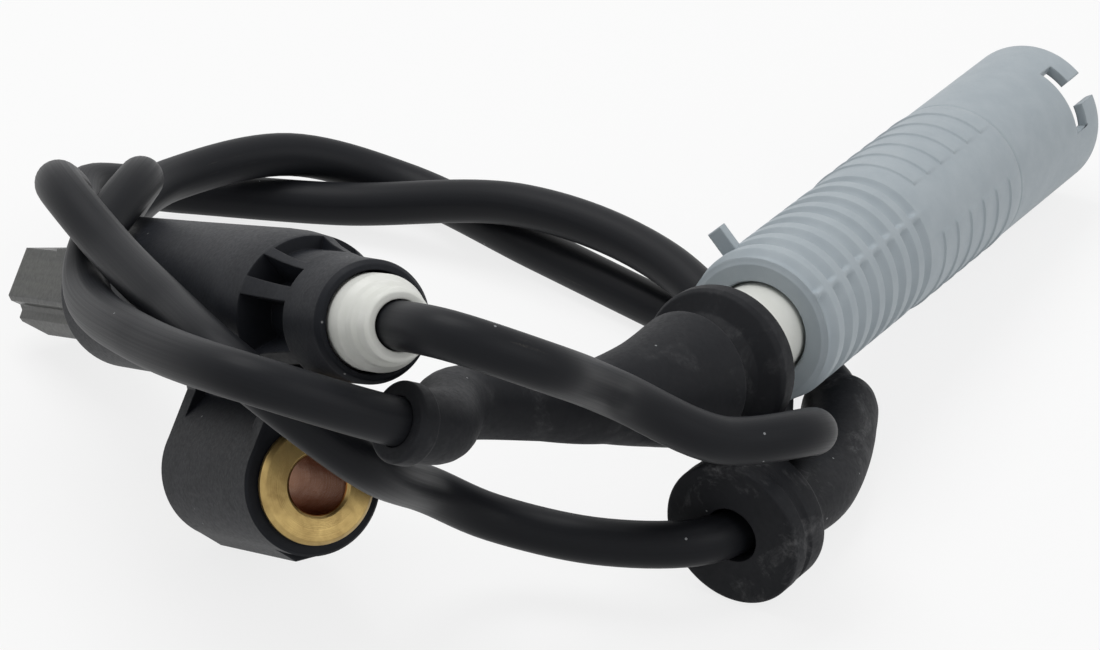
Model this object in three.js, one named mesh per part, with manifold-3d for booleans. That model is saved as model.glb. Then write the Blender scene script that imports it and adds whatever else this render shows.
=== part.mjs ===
// Vehicle wheel speed sensor: head with side ear, coiled cable with body grommet, booted plug in a lock sleeve.
// Millimetres, +Z up. The floor is z = 0 and the head points its cable end along +X.
import * as THREE from 'three';
import { mergeVertices } from 'three/addons/utils/BufferGeometryUtils.js';
import Module from 'manifold-3d';

const wasm = await Module();
wasm.setup();

// General clearance between pieces that touch.
const GAP = 0.3;

// Sensor head, measured along its own axis from the front face of the bush towards the cable.
const HEAD_PITCH = THREE.MathUtils.degToRad(24.4);
const HEAD_AT = [18.4, 0, 36.68];
const BODY_R = 9.0;
const BODY_BACK_R = 8.7;
const BODY_BACK = -48;
const SHOULDER_END = 17.5;
const NECK_R = 4.6;
const COLLAR_R = 6.65;
const COLLAR_END = 25.2;
const COLLAR_BORE_R = 5.5;
const WINDOW_START = 7.7;
const WINDOW_END = 16.5;
const SCOOP_R = 7.0;

// Side ear with its bush.
const BUSH_DROP = 19.4;
const EAR_FRONT = -1.5;
const EAR_BACK = -27.5;
const EAR_R = 8.0;
const EAR_PAD_DROP = 8.4;
const EAR_PAD_HALF = 2.6;
const EAR_PAD_SHORT = 3;
const WEB_HALF = 2.9;
const RIB_HALF = 1.8;
const RIB_RIM = 2.9;
const BUSH_FLANGE_R = 6.7;
const BUSH_R = 6.0;
const BUSH_BORE_R = 3.3;
const BUSH_GROOVE_R = 5.4;
const BUSH_GROOVES = [-11, -20];
const BUSH_GROOVE_WIDTH = 2.4;

// Cable and its seal.
const CABLE_R = 2.65;
const CABLE_BORE_R = CABLE_R + GAP;
const CABLE_SIDES = 8;
const CABLE_STEPS_PER_SPAN = 3;
const CABLE_HEAD_END = 8;
const SEAL_TAIL_START = 18.0;
const SEAL_R = COLLAR_BORE_R - GAP;

// Wiring inside the head.
const CORE_R = 0.8;
const WIRE_Y = 1.75;
const CORE_HEAD_END = -14;
const CRIMP_R = 1.4;
const CRIMP_START = -17.5;
const CRIMP_END = -10.5;
const STRIP_WIDTH = 1.3;
const STRIP_THICK = 0.5;
const STRIP_END = -66.2;
const WIRE_ROOM_R = 5.6;
const WIRE_ROOM_END = -8;

// Tip carrier, its cross section and what it holds.
const TIP_END = -72;
const TIP_STEP = -61.8;
const TIP_ROOT = -30;
const TIP_CHAMFER = 6;
const TIP_SECTION = [
  [-2.9, 4.9], [-6.3, -0.1], [-6.1, -0.8], [-5.1, -1.5], [-5.0, -2.2], [-5.5, -3.0], [-4.6, -5.0],
  [4.6, -5.0], [5.5, -3.0], [5.0, -2.2], [5.1, -1.5], [6.1, -0.8], [6.3, -0.1], [2.9, 4.9],
];
const TIP_STEP_HEIGHT = 0.3;
const CHIP = { x: [-70.6, -66.5], y: 2.5, z: [-0.65, 0.65] };
const MAGNET = { x: [-70.6, -66.5], y: 2.2, z: [-3.6, -0.95] };

// Body grommet: a disc on the cable with a bent spout behind it.
const DISC_AT = [41.2, 43.0, 8.7];
const DISC_HEADING = Math.atan2(0.8701, -0.4928);
const DISC_R = 8.5;
const DISC_WIDTH = 6.4;
const DISC_GROOVE_DEPTH = 0.35;
const SPOUT_R = 4.5;
const GROMMET_BORE_R = CABLE_BORE_R + 0.2;
const SPOUT_START = 436;
const SPOUT_END = 472;

// Connector sleeve, boot and plug, measured along the sleeve axis from the near face of the sleeve.
const SLEEVE_AT = [21.2, 56.8, 20.7];
const SLEEVE_HEADING = Math.atan2(68.25, -51.3);
const SLEEVE_DIP = THREE.MathUtils.degToRad(8.0);
const SLEEVE_LENGTH = 82.7;
const SLEEVE_R = 9.1;
const SLEEVE_BORE_R = 7.9;
const SLEEVE_WALL_END = 2.2;
const SLEEVE_MOUTH_R = 5.8;
const RIB_PITCH = 3.87;
const RIB_START = 1.2;
const RIB_COUNT = 8;
const RIB_DEPTH = 0.8;
const RIB_HALF_WIDTH = 0.75;
const PAD_START = 33.3;
const PAD_PITCH = 4.03;
const PAD_COUNT = 6;
const PAD_HEIGHT = 0.2;
const PAD_ARCS = [[70, 210], [250, 390]];
const LINE_AT = 57.2;
const SLOT_ANGLES = [50, 230];
const SLOT_X = [75.3, 78.6];
const SLOT_HALF_ANGLE = 28;
const SLOT_MOUTH_HALF_ANGLE = 10;
const TAB_ANGLE = -45;
const TAB_X = [5.4, 6.8];
const RETAINER_R = SLEEVE_MOUTH_R - GAP;
const RETAINER_START = -8.2;
const RETAINER_BORE_R = CABLE_BORE_R + 0.3;
const RETAINER_FLANGE_R = 7.2;
const BOOT_END = -9.0;
const BOOT_LIP = -69;
const SLEEVE_STATION = 792.8;
const PLUG_START = 19;
const PLUG_END = 64;
const PLUG_R = SLEEVE_BORE_R - GAP;
const PLUG_NOSE_R = 6.0;
const PLUG_NOSE_START = 46;
const PLUG_SOCKET_R = 4.6;
const PLUG_SOCKET_START = 48;
const SEAL_RING_WIDTH = 3;
const SEAL_RING_X = 50;
const PIN_R = 0.75;
const PIN_START = 31;
const PIN_END = 60;
const WIRE_SEAL_R = 1.9;
const WIRE_SEAL_START = 20;
const WIRE_SEAL_END = 27;
const PLUG_WIRE_Y = 2.4;
const PLUG_CORE_START = 12.5;
const PLUG_CORE_END = 30.4;

// Resting course of the cable's centre line, from the head to the sleeve.
const ROUTE = [
  [25.7, 0.0, 40.0],
  [45.3, 0.0, 48.9],
  [56.2, 1.8, 52.6],
  [60.3, 10.8, 48.6],
  [47.2, 25.8, 34.4],
  [48.2, 37.6, 26.2],
  [46.1, 49.8, 22.8],
  [22.2, 58.3, 8.3],
  [11.3, 63.6, 7.4],
  [-14.9, 64.3, 9.5],
  [-35.6, 55.7, 9.2],
  [-54.9, 40.2, 3.8],
  [-66.9, 24.7, 3.4],
  [-65.6, 12.3, 8.1],
  [-55.6, 6.5, 11.2],
  [-35.1, -3.1, 26.1],
  [-17.7, -10.9, 36.8],
  [-1.4, -11.4, 36.8],
  [14.4, -12.0, 38.4],
  [30.8, -11.6, 39.4],
  [39.3, -1.5, 29.7],
  [27.2, 13.4, 14.8],
  [27.4, 20.6, 9.6],
  [34.4, 30.2, 7.7],
  [40.0, 40.3, 8.0],
  [37.0, 50.0, 7.2],
  [30.1, 60.5, 4.8],
  [11.1, 72.3, 4.6],
  [-4.8, 67.6, 3.1],
  [-34.2, 57.7, 3.1],
  [-55.4, 49.5, 4.0],
  [-61.6, 37.0, 8.2],
  [-58.1, 19.6, 10.7],
  [-42.9, 6.4, 16.4],
  [-23.7, 1.1, 32.0],
  [-12.8, -9.3, 31.9],
  [-5.3, -13.4, 31.0],
  [23.6, -18.8, 40.6],
  [45.2, -15.6, 46.2],
  [47.9, 3.0, 37.0],
  [37.7, 11.5, 32.2],
  [36.2, 28.7, 27.0],
  [28.4, 47.0, 22.2],
  [14.0, 66.3, 19.2],
];

// Curve whose stations follow its points, so that they lie closest where the bends are tightest.
class PointSpacedCurve extends THREE.CatmullRomCurve3 {
  getUtoTmapping(u) {
    return u;
  }
}

const route = new PointSpacedCurve(ROUTE.map((p) => new THREE.Vector3(...p)), false, 'centripetal');
const ROUTE_DIVISIONS = (ROUTE.length - 1) * 24;
const routeLengths = route.getLengths(ROUTE_DIVISIONS);

const plastic = (colour, roughness) => new THREE.MeshStandardMaterial({ color: colour, roughness, metalness: 0 });
const metal = (colour, roughness) => new THREE.MeshStandardMaterial({ color: colour, roughness, metalness: 1 });
const blackPlastic = plastic(0x1d1e22, 0.5);
const oliveResin = plastic(0x2c2f28, 0.35);
const blackRubber = plastic(0x222226, 0.65);
const cableJacket = plastic(0x1a1a1c, 0.5);
const greyPlastic = plastic(0x9aa5ac, 0.55);
const whitePlastic = plastic(0xd9dad3, 0.45);
const sealRubber = plastic(0x8a3a22, 0.6);
const coreBlue = plastic(0x25406e, 0.5);
const coreBrown = plastic(0x4e3222, 0.5);
const brass = metal(0xa9824a, 0.4);
const tinned = metal(0xb8b4a8, 0.35);
const magnetGrey = metal(0x55565a, 0.45);
const chipBlack = plastic(0x111113, 0.4);

function signedVolume(geometry) {
  const position = geometry.getAttribute('position');
  const index = geometry.getIndex();
  const corner = [new THREE.Vector3(), new THREE.Vector3(), new THREE.Vector3()];
  let sum = 0;
  for (let i = 0; i < index.count; i += 3) {
    corner.forEach((c, j) => c.fromBufferAttribute(position, index.getX(i + j)));
    sum += corner[0].dot(corner[1].clone().cross(corner[2]));
  }
  return sum / 6;
}

// Welded geometry with its faces turned outward.
function welded(geometry) {
  const bare = geometry.clone();
  bare.deleteAttribute('normal');
  bare.deleteAttribute('uv');
  const merged = mergeVertices(bare, 1e-4);
  if (signedVolume(merged) < 0) {
    const index = merged.getIndex();
    for (let i = 0; i < index.count; i += 3) {
      const a = index.getX(i + 1);
      index.setX(i + 1, index.getX(i + 2));
      index.setX(i + 2, a);
    }
  }
  return merged;
}

function solid(geometry) {
  const shape = welded(geometry);
  return new wasm.Manifold(new wasm.Mesh({
    numProp: 3,
    vertProperties: new Float32Array(shape.getAttribute('position').array),
    triVerts: new Uint32Array(shape.getIndex().array),
  }));
}

function geometryOf(body) {
  const mesh = body.getMesh();
  const geometry = new THREE.BufferGeometry();
  geometry.setAttribute('position', new THREE.BufferAttribute(new Float32Array(mesh.vertProperties), 3));
  geometry.setIndex(new THREE.BufferAttribute(new Uint32Array(mesh.triVerts), 1));
  geometry.computeVertexNormals();
  return geometry;
}

// Solid of revolution about the X axis. Each profile entry is [distance along X, radius].
function turned(profile, sides = 24) {
  const points = profile.map(([x, r]) => new THREE.Vector2(r, x));
  return new THREE.LatheGeometry(points, sides).rotateZ(-Math.PI / 2);
}

function rod(x0, x1, radius, sides = 20) {
  return turned([[x0, 0], [x0, radius], [x1, radius], [x1, 0]], sides);
}

function pipe(x0, x1, outer, inner, sides = 12) {
  return turned([[x0, inner], [x0, outer], [x1, outer], [x1, inner], [x0, inner]], sides);
}

// Prism along X with a cross section given as [y, z] corners.
function prism(section, x0, x1) {
  const shape = new THREE.Shape(section.map(([y, z]) => new THREE.Vector2(y, z)));
  const geometry = new THREE.ExtrudeGeometry(shape, { depth: x1 - x0, bevelEnabled: false });
  const basis = new THREE.Matrix4().makeBasis(
    new THREE.Vector3(0, 1, 0),
    new THREE.Vector3(0, 0, 1),
    new THREE.Vector3(1, 0, 0),
  );
  return geometry.applyMatrix4(basis).translate(x0, 0, 0);
}

// Prism along Y with a side outline given as [x, z] corners.
function sidePrism(outline, y0, y1) {
  const shape = new THREE.Shape(outline.map(([x, z]) => new THREE.Vector2(x, z)));
  const geometry = new THREE.ExtrudeGeometry(shape, { depth: y1 - y0, bevelEnabled: false });
  const basis = new THREE.Matrix4().makeBasis(
    new THREE.Vector3(1, 0, 0),
    new THREE.Vector3(0, 0, 1),
    new THREE.Vector3(0, -1, 0),
  );
  return geometry.applyMatrix4(basis).translate(0, y1, 0);
}

function block(x, y, z) {
  const box = new THREE.BoxGeometry(x[1] - x[0], y[1] - y[0], z[1] - z[0]);
  return box.translate((x[0] + x[1]) / 2, (y[0] + y[1]) / 2, (z[0] + z[1]) / 2);
}

// Ring sector about the X axis between two angles, measured from +Z towards -Y.
function sector(x0, x1, r0, r1, from, to) {
  const steps = Math.max(2, Math.ceil(Math.abs(to - from) / 14));
  const at = (radius, degrees) => {
    const angle = THREE.MathUtils.degToRad(degrees);
    return [-radius * Math.sin(angle), radius * Math.cos(angle)];
  };
  const section = [];
  for (let i = 0; i <= steps; i += 1) {
    section.push(at(r1, from + ((to - from) * i) / steps));
  }
  for (let i = steps; i >= 0; i -= 1) {
    section.push(at(r0, from + ((to - from) * i) / steps));
  }
  return prism(section, x0, x1);
}

function grown(section, by) {
  const count = section.length;
  return section.map(([y, z], i) => {
    const before = section[(i + count - 1) % count];
    const after = section[(i + 1) % count];
    const length = Math.hypot(y, z);
    const turn = (y - before[0]) * (after[1] - z) - (z - before[1]) * (after[0] - y);
    const reach = turn >= 0 ? by * 1.25 : by * 1.1;
    return [y + (y / length) * reach, z + (z / length) * reach];
  });
}

// Point and frame on the cable's centre line at a distance along it.
function station(distance) {
  const last = ROUTE_DIVISIONS;
  const wanted = Math.min(Math.max(distance, 0), routeLengths[last]);
  let i = 1;
  while (i < last && routeLengths[i] < wanted) {
    i += 1;
  }
  const share = (wanted - routeLengths[i - 1]) / (routeLengths[i] - routeLengths[i - 1]);
  const t = (i - 1 + share) / last;
  return { point: route.getPoint(t), tangent: route.getTangent(t) };
}

// Profile of [distance along the cable, radius] entries, bent round the cable's course.
// It closes on itself, or on the centre line when it is capped.
function bentLathe(profile, sides, capped = false) {
  const first = station(profile[0][0]);
  let across = new THREE.Vector3(0, 0, 1);
  if (Math.abs(first.tangent.z) > 0.9) {
    across = new THREE.Vector3(1, 0, 0);
  }
  const positions = [];
  profile.forEach(([distance, radius]) => {
    const { point, tangent } = station(distance);
    const u = across.clone().addScaledVector(tangent, -across.dot(tangent)).normalize();
    const v = new THREE.Vector3().crossVectors(tangent, u);
    for (let k = 0; k < sides; k += 1) {
      const angle = (2 * Math.PI * k) / sides;
      const spot = point.clone();
      spot.addScaledVector(u, radius * Math.cos(angle));
      spot.addScaledVector(v, radius * Math.sin(angle));
      positions.push(spot.x, spot.y, spot.z);
    }
    across = u;
  });
  const index = [];
  const rings = profile.length;
  for (let i = 0; i < (capped ? rings - 1 : rings); i += 1) {
    const j = (i + 1) % rings;
    for (let k = 0; k < sides; k += 1) {
      const n = (k + 1) % sides;
      index.push(i * sides + k, i * sides + n, j * sides + k);
      index.push(i * sides + n, j * sides + n, j * sides + k);
    }
  }
  if (capped) {
    const start = station(profile[0][0]).point;
    const end = station(profile[rings - 1][0]).point;
    positions.push(start.x, start.y, start.z, end.x, end.y, end.z);
    const centre = rings * sides;
    for (let k = 0; k < sides; k += 1) {
      const n = (k + 1) % sides;
      index.push(centre, n, k);
      index.push(centre + 1, (rings - 1) * sides + k, (rings - 1) * sides + n);
    }
  }
  const geometry = new THREE.BufferGeometry();
  geometry.setAttribute('position', new THREE.Float32BufferAttribute(positions, 3));
  geometry.setIndex(index);
  return geometry;
}

// Entries every few millimetres between the corners of an open profile.
function refined(profile, step) {
  const fine = [profile[0]];
  for (let i = 1; i < profile.length; i += 1) {
    const [d0, r0] = profile[i - 1];
    const [d1, r1] = profile[i];
    const parts = Math.max(1, Math.ceil(Math.abs(d1 - d0) / step));
    for (let k = 1; k <= parts; k += 1) {
      fine.push([d0 + ((d1 - d0) * k) / parts, r0 + ((r1 - r0) * k) / parts]);
    }
  }
  return fine;
}

// The outer profile of a sleeve on the cable, closed by a bore that clears the cable.
function onCable(outer, step, sides) {
  const start = outer[0][0];
  const end = outer[outer.length - 1][0];
  const back = refined([[end, CABLE_BORE_R], [start, CABLE_BORE_R]], step);
  return bentLathe([...refined(outer, step), ...back], sides);
}

// Outline of the bush along its axis, larger by the given amount.
function bushProfile(by) {
  const corners = [[EAR_BACK - 0.4 - by, 0], [EAR_BACK - 0.4 - by, BUSH_R + by]];
  const half = BUSH_GROOVE_WIDTH / 2 - by;
  [...BUSH_GROOVES].reverse().forEach((x) => {
    corners.push([x - half, BUSH_R + by], [x - half, BUSH_GROOVE_R + by]);
    corners.push([x + half, BUSH_GROOVE_R + by], [x + half, BUSH_R + by]);
  });
  corners.push([EAR_FRONT + GAP, BUSH_R + by], [EAR_FRONT + GAP, 0]);
  return corners;
}

// Housing of the head: barrel, windowed shoulder, collar and ear in one moulding.
function housing() {
  const barrel = solid(turned([
    [BODY_BACK, 0], [BODY_BACK, 7.7], [BODY_BACK + 0.4, 8.4], [BODY_BACK + 1.3, BODY_BACK_R],
    [EAR_BACK, BODY_BACK_R + 0.1], [-1, BODY_R], [3, 8.95], [7.7, 8.6], [11, 7.7],
    [14, 7.15], [SHOULDER_END, COLLAR_R + 0.1], [COLLAR_END - 0.5, COLLAR_R], [COLLAR_END, COLLAR_R - 0.3],
    [COLLAR_END, 0],
  ], 32));
  const outline = [[-WEB_HALF, -5], [-WEB_HALF, -9.6]];
  for (let a = 141; a <= 399; a += 258 / 16) {
    const angle = THREE.MathUtils.degToRad(a);
    outline.push([EAR_R * Math.cos(angle), -BUSH_DROP + EAR_R * Math.sin(angle)]);
  }
  outline.push([WEB_HALF, -9.6], [WEB_HALF, -5]);
  const ear = solid(prism(outline, EAR_BACK, EAR_FRONT));
  const pad = solid(block(
    [EAR_BACK, EAR_FRONT - EAR_PAD_SHORT],
    [-EAR_PAD_HALF, EAR_PAD_HALF],
    [-BUSH_DROP - EAR_PAD_DROP, -BUSH_DROP],
  ));
  let body = barrel.add(ear).add(pad);

  // Pockets in both sides of the web leave a rib between barrel and ear.
  const pocket = [EAR_BACK + RIB_RIM, EAR_FRONT - RIB_RIM];
  [[RIB_HALF, EAR_R], [-EAR_R, -RIB_HALF]].forEach((y) => {
    body = body.subtract(solid(block(pocket, y, [-12.9, -9.2])));
  });

  // Windows through the shoulder, alike on both sides.
  const windows = [[28, 48], [62, 108], [122, 158]];
  windows.forEach(([from, to]) => {
    body = body.subtract(solid(sector(WINDOW_START, WINDOW_END, NECK_R, BODY_R + 1, from, to)));
    body = body.subtract(solid(sector(WINDOW_START, WINDOW_END, NECK_R, BODY_R + 1, -to, -from)));
  });
  body = body.subtract(solid(sector(WINDOW_START + 0.5, WINDOW_END - 1, SCOOP_R, BODY_R + 1, -20, 20)));

  // Rooms inside: collar bore, wire channel, wire room and the seat of the tip carrier.
  body = body.subtract(solid(rod(SEAL_TAIL_START - GAP, COLLAR_END + 1, COLLAR_BORE_R)));
  body = body.subtract(solid(rod(WIRE_ROOM_END - 1, SEAL_TAIL_START, CABLE_BORE_R, 14)));
  body = body.subtract(solid(rod(TIP_ROOT - 1, WIRE_ROOM_END, WIRE_ROOM_R)));
  body = body.subtract(solid(prism(grown(TIP_SECTION, GAP + 0.2), BODY_BACK - 1, TIP_ROOT + GAP)));

  // Seat of the bush.
  const seat = turned(bushProfile(GAP), 24).translate(0, 0, -BUSH_DROP);
  body = body.subtract(solid(seat));
  return geometryOf(body);
}

function bush() {
  const outer = bushProfile(0);
  outer.pop();
  outer.push([EAR_FRONT + GAP, BUSH_FLANGE_R], [-0.4, BUSH_FLANGE_R], [0, BUSH_FLANGE_R - 0.4], [0, 0]);
  const body = solid(turned(outer, 24));
  const bore = solid(turned([
    [EAR_BACK - 2, 0], [EAR_BACK - 2, BUSH_BORE_R], [-0.5, BUSH_BORE_R], [0.3, BUSH_BORE_R + 0.8], [0.3, 0],
  ], 24));
  return geometryOf(body.subtract(bore));
}

function tipCarrier() {
  const main = solid(prism(TIP_SECTION, TIP_END, TIP_ROOT));
  const shoulder = solid(prism(
    [[-3.3, 4.5], [-2.9, 4.9 + TIP_STEP_HEIGHT], [2.9, 4.9 + TIP_STEP_HEIGHT], [3.3, 4.5]],
    TIP_STEP,
    BODY_BACK - GAP,
  ));
  const nose = solid(sidePrism(
    [[TIP_END - 1, -3.4], [TIP_END - 1, -9], [TIP_END + TIP_CHAMFER, -9], [TIP_END + TIP_CHAMFER, -5.01]],
    -8,
    8,
  ));
  let body = main.add(shoulder).subtract(nose);
  const room = [CHIP.x[0] - GAP, CHIP.x[1] + GAP];
  const y = CHIP.y + GAP;
  body = body.subtract(solid(block(room, [-y, y], [MAGNET.z[0] - GAP, CHIP.z[1] + GAP])));
  const slotHalf = STRIP_WIDTH / 2 + GAP;
  const slotHigh = STRIP_THICK / 2 + GAP;
  [-WIRE_Y, WIRE_Y].forEach((at) => {
    const slot = block([room[1] - 0.5, TIP_ROOT + 1], [at - slotHalf, at + slotHalf], [-slotHigh, slotHigh]);
    body = body.subtract(solid(slot));
  });
  return geometryOf(body);
}

function sleeve() {
  const profile = [[0, SLEEVE_MOUTH_R], [0, SLEEVE_R - 1.0], [0.2, SLEEVE_R - 0.3]];
  for (let i = 0; i < RIB_COUNT; i += 1) {
    const x = RIB_START + i * RIB_PITCH;
    if (i > 0) {
      profile.push([x - RIB_HALF_WIDTH - 0.2, SLEEVE_R]);
    }
    profile.push([x - 0.15, SLEEVE_R - RIB_DEPTH], [x + 0.35, SLEEVE_R - RIB_DEPTH]);
    profile.push([x + RIB_HALF_WIDTH + 0.3, SLEEVE_R]);
  }
  profile.push([LINE_AT - 0.2, SLEEVE_R], [LINE_AT, SLEEVE_R - 0.25], [LINE_AT + 0.2, SLEEVE_R]);
  profile.push([SLEEVE_LENGTH - 0.4, SLEEVE_R], [SLEEVE_LENGTH, SLEEVE_R - 0.4]);
  profile.push([SLEEVE_LENGTH, SLEEVE_BORE_R], [SLEEVE_WALL_END, SLEEVE_BORE_R]);
  profile.push([SLEEVE_WALL_END, SLEEVE_MOUTH_R], [0, SLEEVE_MOUTH_R]);
  let body = solid(turned(profile, 28));

  // Shallow ramped pads, each with its step towards the near end.
  for (let i = 0; i < PAD_COUNT; i += 1) {
    const x = PAD_START + i * PAD_PITCH;
    PAD_ARCS.forEach(([from, to]) => {
      body = body.add(solid(sector(x, x + 1.6, SLEEVE_R - 0.6, SLEEVE_R + PAD_HEIGHT, from, to)));
    });
  }

  // T-shaped slots: an arc inside the rim and a mouth through the rim.
  SLOT_ANGLES.forEach((angle) => {
    const r0 = SLEEVE_BORE_R - 0.6;
    const r1 = SLEEVE_R + 1;
    const arc = [angle - SLOT_HALF_ANGLE, angle + SLOT_HALF_ANGLE];
    const mouth = [angle - SLOT_MOUTH_HALF_ANGLE, angle + SLOT_MOUTH_HALF_ANGLE];
    body = body.subtract(solid(sector(SLOT_X[0], SLOT_X[1], r0, r1, ...arc)));
    body = body.subtract(solid(sector(SLOT_X[0] + 0.5, SLEEVE_LENGTH + 1, r0, r1, ...mouth)));
  });

  // Small tab beside the near end.
  const tab = block(TAB_X, [-1, 1], [SLEEVE_R - 0.9, SLEEVE_R + 2.9]);
  tab.rotateX(THREE.MathUtils.degToRad(TAB_ANGLE));
  body = body.add(solid(tab));
  return geometryOf(body);
}

function retainer() {
  return turned([
    [RETAINER_START, RETAINER_BORE_R], [RETAINER_START, RETAINER_R], [SLEEVE_WALL_END + GAP, RETAINER_R],
    [SLEEVE_WALL_END + GAP, RETAINER_FLANGE_R], [4.2, RETAINER_FLANGE_R], [4.2, RETAINER_BORE_R],
    [RETAINER_START, RETAINER_BORE_R],
  ], 28);
}

function boot() {
  const outer = [
    [BOOT_LIP - 1.2, 4.1], [BOOT_LIP - 0.9, 4.4], [BOOT_LIP + 0.9, 4.4], [BOOT_LIP + 1.2, 4.0],
    [-40, 4.1], [-32, 4.7], [-25, 6.0], [-19, 7.3], [-16.8, 7.7], [-16.3, 7.3], [-16.0, 5.6],
    [-14.2, 5.4], [-12.8, 6.6], [-11.6, 8.7], [-11.0, 9.0], [BOOT_END - 0.3, 9.0], [BOOT_END, 8.7],
  ];
  return onCable(outer.map(([x, r]) => [SLEEVE_STATION + x, r]), 3, 16);
}

function grommet() {
  const disc = solid(turned([
    [0, 0], [0, DISC_R - 0.4], [0.4, DISC_R], [2.3, DISC_R], [2.6, DISC_R - DISC_GROOVE_DEPTH],
    [3.2, DISC_R - DISC_GROOVE_DEPTH], [3.5, DISC_R - 0.1], [DISC_WIDTH - 0.3, DISC_R - 0.1],
    [DISC_WIDTH, DISC_R - 0.5], [DISC_WIDTH, 0],
  ], 28).rotateZ(DISC_HEADING).translate(...DISC_AT));
  const spout = solid(bentLathe(refined([
    [SPOUT_START, SPOUT_R + 0.3], [SPOUT_END - 4, SPOUT_R - 0.1], [SPOUT_END - 1.4, SPOUT_R],
    [SPOUT_END, SPOUT_R - 0.2],
  ], 4), 14, true));
  const bore = solid(bentLathe(refined([
    [SPOUT_START - 12, GROMMET_BORE_R], [SPOUT_END + 4, GROMMET_BORE_R],
  ], 4), 14, true));
  return geometryOf(disc.add(spout).subtract(bore));
}

function cable() {
  const shape = new THREE.Shape();
  for (let k = 0; k < CABLE_SIDES; k += 1) {
    const angle = (2 * Math.PI * k) / CABLE_SIDES;
    const corner = [CABLE_R * Math.cos(angle), CABLE_R * Math.sin(angle)];
    if (k === 0) {
      shape.moveTo(...corner);
    } else {
      shape.lineTo(...corner);
    }
  }
  shape.closePath();
  return new THREE.ExtrudeGeometry(shape, {
    steps: (ROUTE.length - 1) * CABLE_STEPS_PER_SPAN,
    bevelEnabled: false,
    extrudePath: route,
  });
}

function plugInsert() {
  let body = solid(turned([
    [PLUG_START, 0], [PLUG_START, PLUG_R - 0.5], [PLUG_START + 0.5, PLUG_R], [PLUG_NOSE_START, PLUG_R],
    [PLUG_NOSE_START, PLUG_NOSE_R], [SEAL_RING_X - 0.3, PLUG_NOSE_R], [SEAL_RING_X - 0.3, PLUG_NOSE_R - 0.8],
    [SEAL_RING_X + SEAL_RING_WIDTH + 0.3, PLUG_NOSE_R - 0.8], [SEAL_RING_X + SEAL_RING_WIDTH + 0.3, PLUG_NOSE_R],
    [PLUG_END - 0.5, PLUG_NOSE_R], [PLUG_END, PLUG_NOSE_R - 0.5], [PLUG_END, 0],
  ], 24));
  body = body.subtract(solid(rod(PLUG_SOCKET_START, PLUG_END + 1, PLUG_SOCKET_R, 20)));
  [-PLUG_WIRE_Y, PLUG_WIRE_Y].forEach((y) => {
    body = body.subtract(solid(rod(PLUG_START - 1, WIRE_SEAL_END + GAP, WIRE_SEAL_R + GAP, 12).translate(0, y, 0)));
    body = body.subtract(solid(rod(WIRE_SEAL_END, PLUG_CORE_END + GAP, CORE_R + GAP, 10).translate(0, y, 0)));
    body = body.subtract(solid(rod(PLUG_CORE_END, PLUG_SOCKET_START + 1, PIN_R + GAP, 10).translate(0, y, 0)));
  });
  return geometryOf(body);
}

const object = new THREE.Group();
object.name = 'abs_wheel_speed_sensor';

function mesh(parent, name, geometry, material, at = [0, 0, 0]) {
  const clean = welded(geometry);
  clean.computeVertexNormals();
  const piece = new THREE.Mesh(clean, material);
  piece.name = name;
  piece.position.set(...at);
  parent.add(piece);
  return piece;
}

// Head.
const head = new THREE.Group();
head.position.set(...HEAD_AT);
head.rotation.y = -HEAD_PITCH;
object.add(head);

mesh(head, 'sensor_housing', housing(), blackPlastic);
mesh(head, 'mounting_bush', bush(), brass, [0, 0, -BUSH_DROP]);
mesh(head, 'cable_seal', turned([
  [SEAL_TAIL_START, CABLE_BORE_R], [SEAL_TAIL_START, SEAL_R], [27.6, SEAL_R], [28.4, 4.6],
  [29.4, 4.5], [30, 4.0], [31.6, 3.9], [32, 3.6], [32, CABLE_BORE_R], [SEAL_TAIL_START, CABLE_BORE_R],
], 28), whitePlastic);
mesh(head, 'tip_carrier', tipCarrier(), oliveResin);
mesh(head, 'sensor_ic', block(CHIP.x, [-CHIP.y, CHIP.y], CHIP.z), chipBlack);
mesh(head, 'bias_magnet', block(MAGNET.x, [-MAGNET.y, MAGNET.y], MAGNET.z), magnetGrey);
[['a', -1, coreBlue], ['b', 1, coreBrown]].forEach(([tag, side, colour]) => {
  const at = [0, side * WIRE_Y, 0];
  const strip = block(
    [STRIP_END, CORE_HEAD_END - GAP],
    [-STRIP_WIDTH / 2, STRIP_WIDTH / 2],
    [-STRIP_THICK / 2, STRIP_THICK / 2],
  );
  mesh(head, `terminal_strip_${tag}`, strip, tinned, at);
  mesh(head, `splice_crimp_${tag}`, pipe(CRIMP_START, CRIMP_END, CRIMP_R, CORE_R + GAP), tinned, at);
  mesh(head, `head_core_${tag}`, rod(CORE_HEAD_END, CABLE_HEAD_END - GAP, CORE_R, 10), colour, at);
});

// Cable with what is moulded or slid on it.
mesh(object, 'sensor_cable', cable(), cableJacket);
mesh(object, 'body_grommet', grommet(), blackRubber);
mesh(object, 'connector_boot', boot(), blackRubber);

// Connector end.
const connector = new THREE.Group();
connector.position.set(...SLEEVE_AT);
connector.rotation.set(0, SLEEVE_DIP, SLEEVE_HEADING, 'ZYX');
object.add(connector);

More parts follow.
